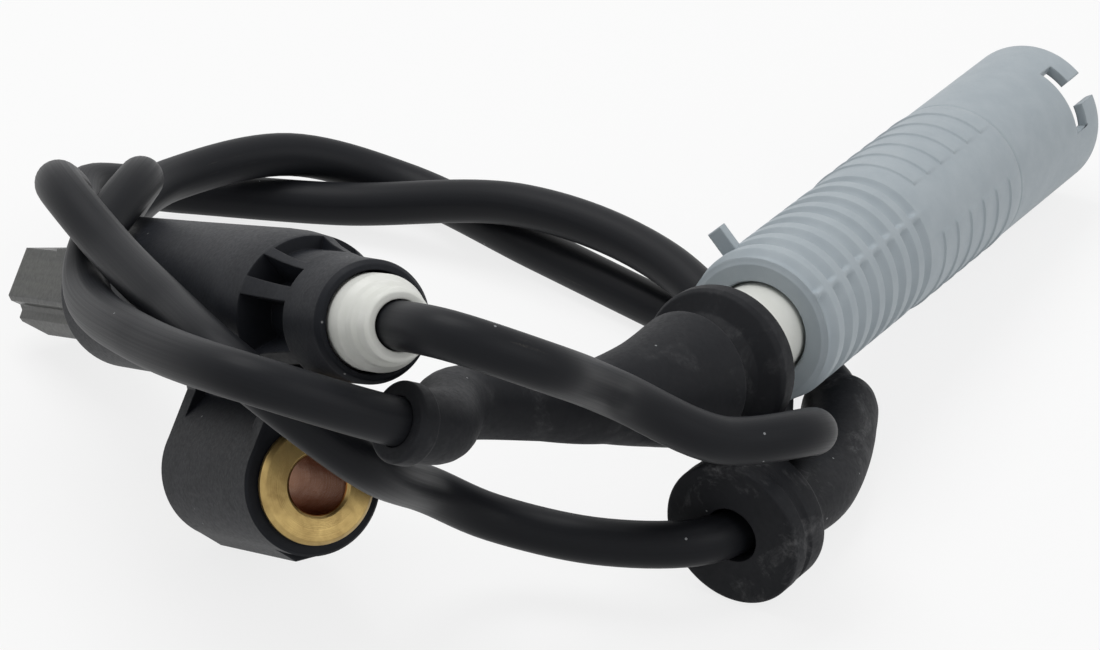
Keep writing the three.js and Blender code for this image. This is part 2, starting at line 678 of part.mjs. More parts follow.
mesh(connector, 'connector_sleeve', sleeve(), greyPlastic);
mesh(connector, 'boot_retainer', retainer(), whitePlastic);
mesh(connector, 'plug_insert', plugInsert(), blackPlastic);
const sealRing = pipe(SEAL_RING_X, SEAL_RING_X + SEAL_RING_WIDTH, PLUG_NOSE_R + 0.6, PLUG_NOSE_R - 0.5, 24);
mesh(connector, 'interface_seal', sealRing, sealRubber);
[['a', -1, coreBlue], ['b', 1, coreBrown]].forEach(([tag, side, colour]) => {
  const at = [0, side * PLUG_WIRE_Y, 0];
  mesh(connector, `contact_pin_${tag}`, rod(PIN_START, PIN_END, PIN_R, 10), tinned, at);
  const plugSeal = pipe(WIRE_SEAL_START, WIRE_SEAL_END, WIRE_SEAL_R, CORE_R + GAP);
  mesh(connector, `wire_seal_${tag}`, plugSeal, sealRubber, at);
  mesh(connector, `plug_core_${tag}`, rod(PLUG_CORE_START, PLUG_CORE_END, CORE_R, 10), colour, at);
});

export default object;
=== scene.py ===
"""Looks of a wheel speed sensor: head with a side ear, coiled cable with a body grommet, and a
booted connector in a grey sleeve."""
import math

import bmesh
import bpy
import numpy as np
from mathutils import Matrix, Vector

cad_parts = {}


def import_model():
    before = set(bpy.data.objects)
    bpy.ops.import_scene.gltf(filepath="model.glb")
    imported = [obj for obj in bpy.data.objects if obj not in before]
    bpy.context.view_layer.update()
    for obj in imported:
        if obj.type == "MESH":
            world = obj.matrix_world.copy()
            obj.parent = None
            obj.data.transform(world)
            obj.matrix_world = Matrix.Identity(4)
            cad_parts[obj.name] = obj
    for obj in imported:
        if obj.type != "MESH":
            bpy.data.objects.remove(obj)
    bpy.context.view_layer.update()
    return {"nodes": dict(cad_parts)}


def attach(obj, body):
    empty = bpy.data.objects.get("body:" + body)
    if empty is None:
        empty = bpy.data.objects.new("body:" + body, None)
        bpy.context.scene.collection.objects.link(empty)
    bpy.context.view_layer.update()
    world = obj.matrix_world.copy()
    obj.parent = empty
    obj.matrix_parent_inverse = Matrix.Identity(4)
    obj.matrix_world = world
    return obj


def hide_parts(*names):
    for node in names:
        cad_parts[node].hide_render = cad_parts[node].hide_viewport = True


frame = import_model()

# All sizes below are millimetres in the row's frame, and are scaled to metres when a mesh is made.
MM = 0.001

# Camera that stands where the photograph's camera stood.
EYE = (559.19, -241.03, 376.35)
VIEW = (-0.7730, 0.3905, -0.5)
LENS = 206.2
FILM_WIDTH = 36
CLIP_METRES = (0.05, 20)

# Edges that turn by less than this many degrees are shaded smooth.
SMOOTH_ANGLE = 32
# Radius that stands for the axis itself, where a turned shape closes.
AXIS_R = 1e-3
# Points of a mesh that are closer than this are welded into one.
WELD_METRES = 1e-7
# A fillet takes at most this share of a side, and a corner near enough to straight has none.
FILLET_SHARE = 0.49
STRAIGHT_HALF_ANGLE = math.radians(87)
# Step of a curved section, in degrees.
ARC_STEP = 3.0

# Cable, by distance along it.
SPAN_STEPS = 48
FRAME_STEP = 0.5
CABLE_R = 2.65
CABLE_SIDES = 28
CABLE_RINGS = 560
CABLE_BORE_R = 2.95
GRIP_R = 2.75
SLEEVE_STATION = 792.8

# Sensor head, measured along its own axis. A profile lists x, radius and the fillet of a corner.
HEAD_PITCH = math.radians(24.4)
HEAD_AT = (18.4, 0.0, 36.68)
HEAD_SIDES = 120
HOUSING_PROFILE = [
    (-48, 0), (-48, 8.4, 0.8), (-47.0, 8.7, 0.6), (-27.5, 8.8, 2), (-1, 9.0, 6), (3, 8.95, 4),
    (7.7, 8.6, 3), (11, 7.7, 4), (14, 7.15, 4), (17.5, 6.75, 3), (24.6, 6.6, 0.4),
    (25.2, 6.1, 0.2), (25.2, 0),
]
HEAD_STEP = 3
NECK_R = 4.6
WINDOW_X = (7.7, 16.5)
WINDOW_ARCS = ((28, 48), (62, 108), (122, 158))
SCOOP_X = (8.2, 15.5)
SCOOP_R = 7.0
SCOOP_HALF_ANGLE = 20
CUT_R = 11
COLLAR_BORE_R = 5.5
COLLAR_FLOOR = 17.7
COLLAR_MOUTH = 27

# Side ear: sections are lists of y and z across the head's axis.
BUSH_DROP = 19.4
EAR_FRONT = -1.5
EAR_BACK = -27.5
EAR_R = 8.0
EAR_ARC = (141, 399)
EAR_ARC_POINTS = 60
EAR_CHAMFER = 0.3
WEB_HALF = 2.9
WEB_Z = (-5, -9.6)
FOOT_SECTION = [(-5, -25.6), (-2.6, -27.8), (2.6, -27.8), (5, -25.6), (5, -20), (-5, -20)]
FOOT_SHORT = 3
FOOT_CHAMFER = 0.2
POCKET_SECTION = ((1.8, -9.2), (1.8, -10.4), (6.6, -13.4), (9.4, -13.4), (9.4, -9.2))
POCKET_RIM = 2.9

# Brass bush in the ear, and the room for it.
BUSH_PROFILE = [
    (-27.9, 3.3), (-27.9, 6.0, 0.2), (-1.2, 6.0), (-1.2, 6.7, 0.1), (-0.5, 6.7, 0.2), (0, 6.2, 0.2),
    (0, 3.75, 0.1), (-0.4, 3.35, 0.1), (-1.0, 3.3), (-27.0, 3.3),
]
BUSH_SEAT = [(-30, 0), (-30, 6.2), (0, 6.2), (0, 0)]
# Inside this radius the brass is painted darker and redder: painted shade in the bore.
BORE_SHADE_R = 3.45

# White seal in the collar.
SEAL_SIDES = 96
SEAL_PROFILE = [
    (18, CABLE_BORE_R), (18, 5.2, 0.2), (27.6, 5.2, 0.5), (28.4, 4.6, 0.3), (29.5, 4.5, 0.3),
    (30, 4.0, 0.25), (31.6, 3.9, 0.3), (32, 3.5, 0.2), (32, GRIP_R, 0.1), (18.5, GRIP_R),
]

# Olive tip: keyed section, raised shoulder, and the cut under its nose as (x, z).
TIP_SECTION = [
    (-2.9, 4.9), (-6.3, -0.1), (-6.1, -0.8), (-5.1, -1.5), (-5.0, -2.2), (-5.5, -3.0), (-4.6, -5.0),
    (4.6, -5.0), (5.5, -3.0), (5.0, -2.2), (5.1, -1.5), (6.1, -0.8), (6.3, -0.1), (3.4, 3.5),
]
TIP_X = (-72.8, -30)
TIP_CHAMFER = 0.3
SHOULDER_SECTION = [(-3.3, 4.4), (-2.9, 5.2), (2.6, 3.95), (3.2, 3.3)]
SHOULDER_X = (-61.8, -47.5)
SHOULDER_CHAMFER = 0.15
KEEL_CUT = [(-73, -3.4), (-73, -9), (-66, -9), (-66, -5.01)]
KEEL_CUT_HALF = 8
TIP_ROOM_X = (-50, -42)
TIP_ROOM_SCALE = 1.06

# Body grommet: the disc by distance from its face, the spout by distance along the cable.
DISC_AT = (41.2, 43.0, 8.7)
DISC_HEADING = math.atan2(0.8701, -0.4928)
DISC_SIDES = 96
DISC_STEP = 0.8
DISC_R = 8.5
DISC_GROOVE_R = 8.1
DISC_BACK_R = 8.4
DISC_WIDTH = 6.4
DISC_BORE_R = GRIP_R + 0.5
DISC_PROFILE = [
    (0, DISC_BORE_R), (0, DISC_R, 0.35), (2.1, DISC_R, 0.2), (2.45, DISC_GROOVE_R, 0.2),
    (3.1, DISC_GROOVE_R, 0.2), (3.5, DISC_BACK_R, 0.2), (DISC_WIDTH, DISC_BACK_R, 0.5),
    (DISC_WIDTH, 5.2, 0.4), (DISC_WIDTH, DISC_BORE_R),
]
SPOUT_START = 436.0
SPOUT_END = 472.0
SPOUT_SIDES = 64
SPOUT_STEP = 1.0
SPOUT_PROFILE = [
    (SPOUT_START, 4.9), (SPOUT_START + 3.5, 5.0, 0.5), (SPOUT_START + 5.5, 4.45, 1.5),
    (SPOUT_END - 4.5, 4.35, 2), (SPOUT_END - 1.6, 4.5, 0.8), (SPOUT_END, 4.3, 0.4),
    (SPOUT_END, GRIP_R),
]

# Connector boot, by distance along the cable from the near face of the sleeve.
BOOT_SIDES = 72
BOOT_LIP = -70.2
BOOT_FACE = -9.0
BOOT_STEP = 1.2
BOOT_BORE_STEP = 1.5
BOOT_PROFILE = [
    (BOOT_LIP, GRIP_R), (BOOT_LIP, 4.1, 0.3), (-69.8, 4.45, 0.4), (-68.1, 4.45, 0.4),
    (-67.8, 4.0, 0.3), (-40, 4.1, 5), (-32, 4.7, 6), (-25, 6.0, 6), (-19, 7.3, 3),
    (-16.8, 7.7, 0.4), (-16.2, 7.3, 0.3), (-16.0, 5.6, 0.2), (-14.2, 5.4, 0.6),
    (-12.8, 6.6, 0.8), (-11.6, 8.7, 0.6), (-11.0, 9.0, 0.4), (-9.2, 9.0, 0.3),
    (BOOT_FACE, 8.7, 0.2), (BOOT_FACE, GRIP_R),
]
RETAINER_SIDES = 72
RETAINER_PROFILE = [
    (-8.2, GRIP_R), (-8.2, 5.5, 0.3), (2.5, 5.5), (2.5, 7.2, 0.1), (4.2, 7.2, 0.1), (4.2, GRIP_R),
]

# Connector sleeve, measured from its near face. Angles run round its axis in degrees.
SLEEVE_AT = (21.2, 56.8, 20.7)
SLEEVE_HEADING = math.atan2(68.25, -51.3)
SLEEVE_DIP = math.radians(8.0)
SLEEVE_SIDES = 240
SLEEVE_LENGTH = 82.7
SLEEVE_R = 9.1
SLEEVE_BORE_R = 7.9
SLEEVE_WALL_END = 2.2
SLEEVE_MOUTH_R = 5.8
NEAR_LIP = [(0.6, SLEEVE_MOUTH_R), (0, SLEEVE_MOUTH_R + 0.3, 0.2), (0, 8.0, 0.1), (0.15, 8.2)]
NEAR_EASE = 0.5
NEAR_EASE_END = 0.6
FAR_LIP = ((0.3, 9.02), (0.08, 8.86), (0, 8.6), (0, 8.2), (0.1, 8.02), (0.4, 7.9))
PLAIN_RINGS = [60, 64, 68, 72, 76, 79, 81, SLEEVE_LENGTH - 0.6]
BORE_RINGS = (70, 50, 30, 10, SLEEVE_WALL_END + 0.1)
RIB_PITCH = 3.87
RIB_START = 1.2
RIB_COUNT = 8
RIB_DEPTH = 0.95
RIB_SHIFT = 0.1
RIB_HALF = 1.05
RIB_POWER = 0.8
RIB_RING_STEP = 0.32
RIBS_FIRST_RING = 0.3
RIBS_RUN_OUT = 1.3
BRIDGE_ANGLES = (49, 229)
BRIDGE_HALF_ANGLE = 4
BRIDGE_GAIN = 1.6
PAD_START = 33.3
PAD_PITCH = 4.03
PAD_COUNT = 6
PAD_LENGTH = 3.6
PAD_RINGS = (-0.1, 0.0, 1.2, 2.4, PAD_LENGTH)
PAD_HEIGHT = 0.2
PAD_ARCS = ((70, 210), (250, 390))
LINE_AT = 57.2
LINE_HALF = 0.2
LINE_DEPTH = 0.2
LINE_RINGS = (-0.25, -0.1, 0, 0.1, 0.25)
SLOT_ANGLES = (50, 230)
SLOT_X = (75.3, 78.6)
SLOT_R = (SLEEVE_BORE_R - 0.8, SLEEVE_R + 1.2)
SLOT_HALF_ANGLE = 28
MOUTH_X = (SLOT_X[0] + 0.5, SLEEVE_LENGTH + 1)
MOUTH_R = (SLEEVE_BORE_R - 0.9, SLEEVE_R + 1.3)
MOUTH_HALF_ANGLE = 10
TAB_ANGLE = 45
TAB_X = (5.4, 6.8)
TAB_HALF = 1
TAB_R = (SLEEVE_R - 0.9, SLEEVE_R + 2.9)
TAB_CHAMFER = 0.15

# Studio. Lamps are placed in metres.
FLOOR_HALF = 900
FLOOR_GLOW = 0.8
AMBIENT = 0.45
BACKDROP = 1.0
LAMP_TARGET = (0, 0.04, 0.02)
LAMP_SIZE = 0.5
LAMPS = {"key": ((-0.25, -0.05, 0.75), 3.2), "fill": ((0.6, 0.3, 0.5), 1.2)}

# Resting course of the cable's centre line, from the head to the sleeve.
ROUTE = [
    (25.7, 0.0, 40.0), (45.3, 0.0, 48.9), (56.2, 1.8, 52.6), (60.3, 10.8, 48.6),
    (47.2, 25.8, 34.4), (48.2, 37.6, 26.2), (46.1, 49.8, 22.8), (22.2, 58.3, 8.3),
    (11.3, 63.6, 7.4), (-14.9, 64.3, 9.5), (-35.6, 55.7, 9.2), (-54.9, 40.2, 3.8),
    (-66.9, 24.7, 3.4), (-65.6, 12.3, 8.1), (-55.6, 6.5, 11.2), (-35.1, -3.1, 26.1),
    (-17.7, -10.9, 36.8), (-1.4, -11.4, 36.8), (14.4, -12.0, 38.4), (30.8, -11.6, 39.4),
    (39.3, -1.5, 29.7), (27.2, 13.4, 14.8), (27.4, 20.6, 9.6), (34.4, 30.2, 7.7),
    (40.0, 40.3, 8.0), (37.0, 50.0, 7.2), (30.1, 60.5, 4.8), (11.1, 72.3, 4.6),
    (-4.8, 67.6, 3.1), (-34.2, 57.7, 3.1), (-55.4, 49.5, 4.0), (-61.6, 37.0, 8.2),
    (-58.1, 19.6, 10.7), (-42.9, 6.4, 16.4), (-23.7, 1.1, 32.0), (-12.8, -9.3, 31.9),
    (-5.3, -13.4, 31.0), (23.6, -18.8, 40.6), (45.2, -15.6, 46.2), (47.9, 3.0, 37.0),
    (37.7, 11.5, 32.2), (36.2, 28.7, 27.0), (28.4, 47.0, 22.2), (14.0, 66.3, 19.2),
]


def turn(axis, angle):
    return Matrix.Rotation(angle, 4, axis)


HEAD = Matrix.Translation(HEAD_AT) @ turn("Y", -HEAD_PITCH)
BUSH = HEAD @ Matrix.Translation((0, 0, -BUSH_DROP))
CONNECTOR = Matrix.Translation(SLEEVE_AT) @ turn("Z", SLEEVE_HEADING) @ turn("Y", SLEEVE_DIP)
DISC = Matrix.Translation(DISC_AT) @ turn("Z", DISC_HEADING)
WORLD = Matrix.Identity(4)


# Camera.

def place_camera():
    data = bpy.data.cameras.new("camera")
    data.lens = LENS
    data.sensor_width = FILM_WIDTH
    data.clip_start, data.clip_end = CLIP_METRES
    camera = bpy.data.objects.new("camera", data)
    forward = Vector(VIEW).normalized()
    right = forward.cross(Vector((0, 0, 1))).normalized()
    up = right.cross(forward)
    basis = Matrix((right, up, -forward)).transposed().to_4x4()
    camera.matrix_world = Matrix.Translation(Vector(EYE) * MM) @ basis
    bpy.context.scene.collection.objects.link(camera)
    bpy.context.scene.camera = camera


place_camera()


# Centre line of the cable.

def spline(points, steps):
    """Centripetal spline through the points, with its first and last spans carried straight on."""
    p = np.array(points, float)
    p = np.vstack([2 * p[0] - p[1], p, 2 * p[-1] - p[-2]])
    gap = np.linalg.norm(np.diff(p, axis=0), axis=1) ** 0.5
    out = []
    for i in range(1, len(p) - 2):
        t0, t1, t2 = gap[i - 1], gap[i], gap[i + 1]
        m1 = (p[i] - p[i - 1]) / t0 - (p[i + 1] - p[i - 1]) / (t0 + t1) + (p[i + 1] - p[i]) / t1
        m2 = (p[i + 1] - p[i]) / t1 - (p[i + 2] - p[i]) / (t1 + t2) + (p[i + 2] - p[i + 1]) / t2
        m1 = m1 * t1
        m2 = m2 * t1
        last = i == len(p) - 3
        for k in range(steps + (1 if last else 0)):
            u = k / steps
            a = 2 * u ** 3 - 3 * u ** 2 + 1
            b = u ** 3 - 2 * u ** 2 + u
            c = -2 * u ** 3 + 3 * u ** 2
            d = u ** 3 - u ** 2
            out.append(a * p[i] + b * m1 + c * p[i + 1] + d * m2)
    return np.array(out)


LINE = spline(ROUTE, SPAN_STEPS)
LINE_LENGTHS = np.concatenate([[0], np.cumsum(np.linalg.norm(np.diff(LINE, axis=0), axis=1))])
CABLE_LENGTH = float(LINE_LENGTHS[-1])


def frames_along(distances):
    """Points, and two directions across, that turn as little as possible along the cable."""
    fine = np.arange(0, CABLE_LENGTH, FRAME_STEP)
    at = np.stack([np.interp(fine, LINE_LENGTHS, LINE[:, i]) for i in range(3)], 1)
    ahead = np.gradient(at, axis=0)
    ahead /= np.linalg.norm(ahead, axis=1)[:, None]
    u = np.zeros_like(ahead)
    across = np.array([0.0, 1.0, 0.0])
    for i, t in enumerate(ahead):
        across = across - t * (across @ t)
        across /= np.linalg.norm(across)
        u[i] = across
    v = np.cross(ahead, u)
    d = np.asarray(distances, float)
    points = np.stack([np.interp(d, LINE_LENGTHS, LINE[:, i]) for i in range(3)], 1)
    us = np.stack([np.interp(d, fine, u[:, i]) for i in range(3)], 1)
    vs = np.stack([np.interp(d, fine, v[:, i]) for i in range(3)], 1)
    us /= np.linalg.norm(us, axis=1)[:, None]
    vs /= np.linalg.norm(vs, axis=1)[:, None]
    return points, us, vs


# Mesh making.

def make(name, verts, faces, at=WORLD, uv=None):
    """Object from millimetre vertices, with an optional flat coordinate for every vertex."""
    mesh = bpy.data.meshes.new(name)
    moved = np.asarray(verts, float) @ np.array(at.to_3x3()).T + np.array(at.translation)
    mesh.from_pydata((moved * MM).tolist(), [], faces)
    mesh.validate()
    if uv is not None:
        layer = mesh.uv_layers.new(name="course")
        for loop in mesh.loops:
            layer.data[loop.index].uv = uv[loop.vertex_index]
    obj = bpy.data.objects.new(name, mesh)
    bpy.context.scene.collection.objects.link(obj)
    repair(obj)
    return obj


def repair(obj):
    """Weld the mesh and turn its faces outward."""
    bm = bmesh.new()
    bm.from_mesh(obj.data)
    bmesh.ops.remove_doubles(bm, verts=bm.verts, dist=WELD_METRES)
    bmesh.ops.recalc_face_normals(bm, faces=bm.faces)
    bm.to_mesh(obj.data)
    bm.free()


def soften(obj):
    obj.data.polygons.foreach_set("use_smooth", [True] * len(obj.data.polygons))
    obj.data.set_sharp_from_angle(angle=math.radians(SMOOTH_ANGLE))
    obj.data.update()


def loft(rings, closed=False, capped=False):
    """Faces between rings of equal size. A closed loft joins its last ring to its first."""
    rings = np.asarray(rings, float)
    count, sides = rings.shape[:2]
    verts = rings.reshape(-1, 3)
    faces = []
    for i in range(count if closed else count - 1):
        j = (i + 1) % count
        for k in range(sides):
            n = (k + 1) % sides
            faces.append((i * sides + k, i * sides + n, j * sides + n, j * sides + k))
    if capped:
        faces.append(tuple(range(sides)))
        faces.append(tuple((count - 1) * sides + k for k in reversed(range(sides))))
    return verts, faces


def rounded(corners, steps=4):
    """Profile whose corners (x, r, fillet) are rounded to their fillet radius."""
    out = []
    count = len(corners)
    for i, corner in enumerate(corners):
        fillet = corner[2] if len(corner) > 2 else 0
        here = np.array(corner[:2], float)
        if not fillet or i == 0 or i == count - 1:
            out.append(tuple(here))
            continue
        before = np.array(corners[i - 1][:2], float) - here
        after = np.array(corners[i + 1][:2], float) - here
        la, lb = np.linalg.norm(before), np.linalg.norm(after)
        before /= la
        after /= lb
        half = math.acos(max(-1, min(1, before @ after))) / 2
        if half > STRAIGHT_HALF_ANGLE:
            out.append(tuple(here))
            continue
        reach = min(fillet / math.tan(half), la * FILLET_SHARE, lb * FILLET_SHARE)
        radius = reach * math.tan(half)
        centre = here + (before + after) / np.linalg.norm(before + after) * radius / math.sin(half)
        a = here + before * reach - centre
        b = here + after * reach - centre
        sweep = math.pi - 2 * half
        for k in range(steps + 1):
            f = k / steps
            w = (math.sin((1 - f) * sweep) * a + math.sin(f * sweep) * b) / math.sin(sweep)
            out.append(tuple(centre + w))
    return out


def split(profile, step):
    """Profile with no span longer than the step."""
    out = [profile[0]]
    for (x0, r0), (x1, r1) in zip(profile, profile[1:]):
        parts = max(1, math.ceil(math.hypot(x1 - x0, r1 - r0) / step))
        for k in range(1, parts + 1):
            out.append((x0 + (x1 - x0) * k / parts, r0 + (r1 - r0) * k / parts))
    return out


def circle(sides):
    """Directions round the X axis, from +Z towards -Y."""
    angle = np.arange(sides) * 2 * math.pi / sides
    return np.stack([-np.sin(angle), np.cos(angle)], 1)


def lathe(profile, sides=96, closed=False):
    """Rings about the X axis for a profile of (x, r). Ends near the axis are closed by a face."""
    ring = circle(sides)
    rings = []
    for x, r in profile:
        r = max(r, AXIS_R)
        rings.append(np.column_stack([np.full(sides, x), ring * r]))
    return loft(rings, closed=closed, capped=not closed)


def bent(profile, sides=48, closed=True):
    """Profile of (distance, r) bent round the cable's course."""
    d = [p[0] for p in profile]
    points, us, vs = frames_along(d)
    angle = np.arange(sides) * 2 * math.pi / sides
    rings = []
    for (_, r), c, u, v in zip(profile, points, us, vs):
        rings.append(c + r * (np.cos(angle)[:, None] * u + np.sin(angle)[:, None] * v))
    return loft(rings, closed=closed, capped=not closed)


def prism(section, x0, x1, edge=0.0):
    """Prism along X of a section of (y, z), its end edges eased by a chamfer."""
    pts = np.array(section, float)
    centre = pts.mean(0)
    rows = [(x0, edge), (x0 + edge, 0), (x1 - edge, 0), (x1, edge)] if edge else [(x0, 0), (x1, 0)]
    rings = []
    for x, inset in rows:
        size = np.linalg.norm(pts - centre, axis=1)[:, None]
        moved = pts - (pts - centre) / size * inset
        rings.append(np.column_stack([np.full(len(pts), x), moved]))
    return loft(rings, capped=True)


def arc_section(r0, r1, start, stop):
    """Section of (y, z) between two radii and two angles."""
    count = max(2, math.ceil(abs(stop - start) / ARC_STEP))
    angle = np.radians(np.linspace(start, stop, count + 1))
    outer = [(-r1 * math.sin(a), r1 * math.cos(a)) for a in angle]
    inner = [(-r0 * math.sin(a), r0 * math.cos(a)) for a in angle[::-1]]
    return outer + inner


def carve(body, tools, operation="DIFFERENCE"):
    """Apply boolean tools to a body and remove the tools."""
    for tool in tools:
        modifier = body.modifiers.new("carve", "BOOLEAN")
        modifier.operation = operation
        modifier.solver = "EXACT"
        modifier.object = tool
        bpy.context.view_layer.update()
        graph = bpy.context.evaluated_depsgraph_get()
        mesh = bpy.data.meshes.new_from_object(body.evaluated_get(graph))
        body.modifiers.clear()
        old = body.data
        body.data = mesh
        bpy.data.meshes.remove(old)
        bpy.data.objects.remove(tool)


def put(obj, material, slot, *nodes):
    """Finish a piece: material, smooth shading, the body that it rides on and its nodes."""
    obj.data.materials.clear()
    obj.data.materials.append(MATERIALS[material])
    soften(obj)
    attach(obj, "root")
    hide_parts(*nodes)
    return obj


# Materials.

class Nodes:
    """Short way to write a material's node tree."""

    def __init__(self, name):
        self.material = bpy.data.materials.new(name)
        self.material.use_nodes = True
        self.tree = self.material.node_tree
        self.shader = self.tree.nodes["Principled BSDF"]

    def add(self, kind, inputs=None, **settings):
        node = self.tree.nodes.new(kind)
        for key, value in settings.items():
            setattr(node, key, value)
        for key, value in (inputs or {}).items():
            self.feed(value, node.inputs[key])
        return node

    def feed(self, value, socket):
        if isinstance(value, bpy.types.NodeSocket):
            self.tree.links.new(value, socket)
        else:
            socket.default_value = value

    def place(self, scale=(1, 1, 1)):
        """Position in the row's frame, in millimetres, stretched by the scale."""
        coords = self.add("ShaderNodeTexCoord")
        return self.mapped(coords.outputs["Object"], Scale=[s / MM for s in scale])

    def local(self, matrix, scale=(1, 1, 1)):
        """Position in a piece's own frame, in millimetres, stretched by the scale."""
        coords = self.add("ShaderNodeTexCoord")
        back = matrix.inverted()
        turned = self.mapped(
            coords.outputs["Object"],
            Scale=(1 / MM,) * 3, Rotation=back.to_euler(), Location=back.translation,
        )
        return self.mapped(turned, Scale=scale)

    def mapped(self, vector, **settings):
        return self.add("ShaderNodeMapping", {"Vector": vector, **settings}).outputs["Vector"]

    def noise(self, vector, scale, detail=3.0, roughness=0.5, distortion=0.0):
        node = self.add("ShaderNodeTexNoise", {
            "Vector": vector, "Scale": scale, "Detail": detail, "Roughness": roughness,
            "Distortion": distortion,
        })
        return node.outputs["Fac"]

    def spread(self, value, low, high):
        """The middle of a noise value's range, stretched from low to high."""
        node = self.add("ShaderNodeMapRange", {
            "Value": value, "From Min": 0.3, "From Max": 0.7, "To Min": low, "To Max": high,
        })
        return node.outputs["Result"]

    def ramp(self, value, *stops):
        """Colour ramp with stops of (position, grey or colour)."""
        node = self.add("ShaderNodeValToRGB", {"Fac": value})
        elements = node.color_ramp.elements
        while len(elements) < len(stops):
            elements.new(0.5)
        for element, (position, colour) in zip(elements, stops):
            element.position = position
            grey = (colour,) * 3 if isinstance(colour, (int, float)) else colour
            element.color = (*grey, 1)
        return node.outputs["Color"]

    def math(self, operation, a, b=0.0):
        node = self.add("ShaderNodeMath", operation=operation)
        self.feed(a, node.inputs[0])
        self.feed(b, node.inputs[1])
        return node.outputs["Value"]

    def mix(self, factor, a, b):
        node = self.add("ShaderNodeMix", data_type="RGBA")
        self.feed(factor, node.inputs["Factor"])
        for value, key in ((a, 6), (b, 7)):
            if not isinstance(value, bpy.types.NodeSocket) and len(value) == 3:
                value = (*value, 1)
            self.feed(value, node.inputs[key])
        return node.outputs[2]

    def specks(self, vector, scale, radius, share):
        """Small round spots, one in some of the cells."""
        cells = self.add("ShaderNodeTexVoronoi", {"Vector": vector, "Scale": scale})
        near = self.math("LESS_THAN", cells.outputs["Distance"], radius)
        split_colour = self.add("ShaderNodeSeparateColor", {"Color": cells.outputs["Color"]})
        chosen = self.math("LESS_THAN", split_colour.outputs["Red"], share)
        return self.math("MULTIPLY", near, chosen)

    def bump(self, height, strength, distance, normal=None):
        node = self.add("ShaderNodeBump", {
            "Height": height, "Strength": strength, "Distance": distance * MM,
        })
        if normal is not None:
            self.feed(normal, node.inputs["Normal"])
        return node.outputs["Normal"]

    def eased(self, radius):
        """Normal that rounds sharp edges over the radius."""
        node = self.add("ShaderNodeBevel", {"Radius": radius * MM}, samples=6)
        return node.outputs["Normal"]

    def done(self, colour, rough, normal=None, specular=0.5, metallic=0.0):
        sockets = {
            "Base Color": colour,
            "Roughness": rough,
            "Specular IOR Level": specular,
            "Metallic": metallic,
        }
        if normal is not None:
            sockets["Normal"] = normal
        for key, value in sockets.items():
            self.feed(value, self.shader.inputs[key])
        return self.material


def moulded(name, base, mottle, rough, dust=0.0, edge=0.25, specular=0.5):
    """Moulded plastic: slight mottling, fine grain, a few dust specks and eased edges."""
    n = Nodes(name)
    at = n.place()
    cloud = n.noise(at, 0.35, 4)
    fine = n.noise(at, 2.2, 5, 0.65)
    colour = n.mix(n.ramp(cloud, (0.35, 0.0), (0.7, 1.0)), base, mottle)
    if dust:
        spots = n.specks(at, 0.42, 0.055, dust)
        pale = tuple(min(1, c + 0.25) for c in mottle)
        colour = n.mix(n.math("MULTIPLY", spots, 0.8), colour, pale)
    roughness = n.spread(fine, rough - 0.06, rough + 0.08)
    normal = n.bump(fine, 0.6, 0.02, n.eased(edge))
    return n.done(colour, roughness, normal, specular=specular)


def cable_skin():
    """Extruded jacket: satin, faintly streaked along its length, with rare pale rubs and specks."""
    n = Nodes("cable_jacket")
    course = n.add("ShaderNodeUVMap", uv_map="course").outputs["UV"]
    long_way = n.mapped(course, Scale=(0.02, 9, 1))
    patch_way = n.mapped(course, Scale=(0.09, 3.2, 1))
    at = n.place()
    streak = n.noise(long_way, 1.0, 5, 0.6)
    patch = n.noise(patch_way, 1.0, 4, 0.6)
    fine = n.noise(at, 3.0, 5, 0.6)
    base = n.mix(streak, (0.0065, 0.0072, 0.0092), (0.0125, 0.0132, 0.0155))
    rub = n.ramp(n.math("MULTIPLY", patch, n.noise(at, 0.06, 2)), (0.40, 0.0), (0.52, 1.0))
    rub = n.math("MULTIPLY", rub, n.ramp(fine, (0.42, 0.2), (0.62, 1.0)))
    colour = n.mix(n.math("MULTIPLY", rub, 0.6), base, (0.085, 0.08, 0.072))
    spots = n.specks(at, 0.34, 0.05, 0.16)
    colour = n.mix(n.math("MULTIPLY", spots, 0.75), colour, (0.32, 0.33, 0.34))
    normal = n.bump(streak, 0.25, 0.05, n.bump(fine, 0.4, 0.012))
    return n.done(colour, n.spread(streak, 0.40, 0.52), normal, specular=0.13)


def rubber(name, chalk):
    """Moulded rubber with a pale bloom that gathers in patches."""
    n = Nodes(name)
    at = n.place()
    cloud = n.noise(at, 0.28, 5, 0.62, 0.4)
    fine = n.noise(at, 1.6, 6, 0.7)
    scuff = n.noise(at, 0.17, 6, 0.66, 0.6)
    base = n.mix(cloud, (0.0075, 0.0082, 0.0102), (0.0165, 0.0172, 0.0198))
    bloom = n.math("MULTIPLY", n.ramp(scuff, (0.52, 0.0), (0.72, 1.0)),
                   n.ramp(fine, (0.4, 0.15), (0.62, 1.0)))
    colour = n.mix(n.math("MULTIPLY", bloom, chalk), base, (0.2, 0.2, 0.205))
    spots = n.specks(at, 0.5, 0.06, 0.3 * chalk + 0.05)
    colour = n.mix(n.math("MULTIPLY", spots, 0.7), colour, (0.35, 0.36, 0.37))
    normal = n.bump(fine, 0.5, 0.03, n.eased(0.2))
    return n.done(colour, n.spread(fine, 0.5, 0.68), normal, specular=0.14)


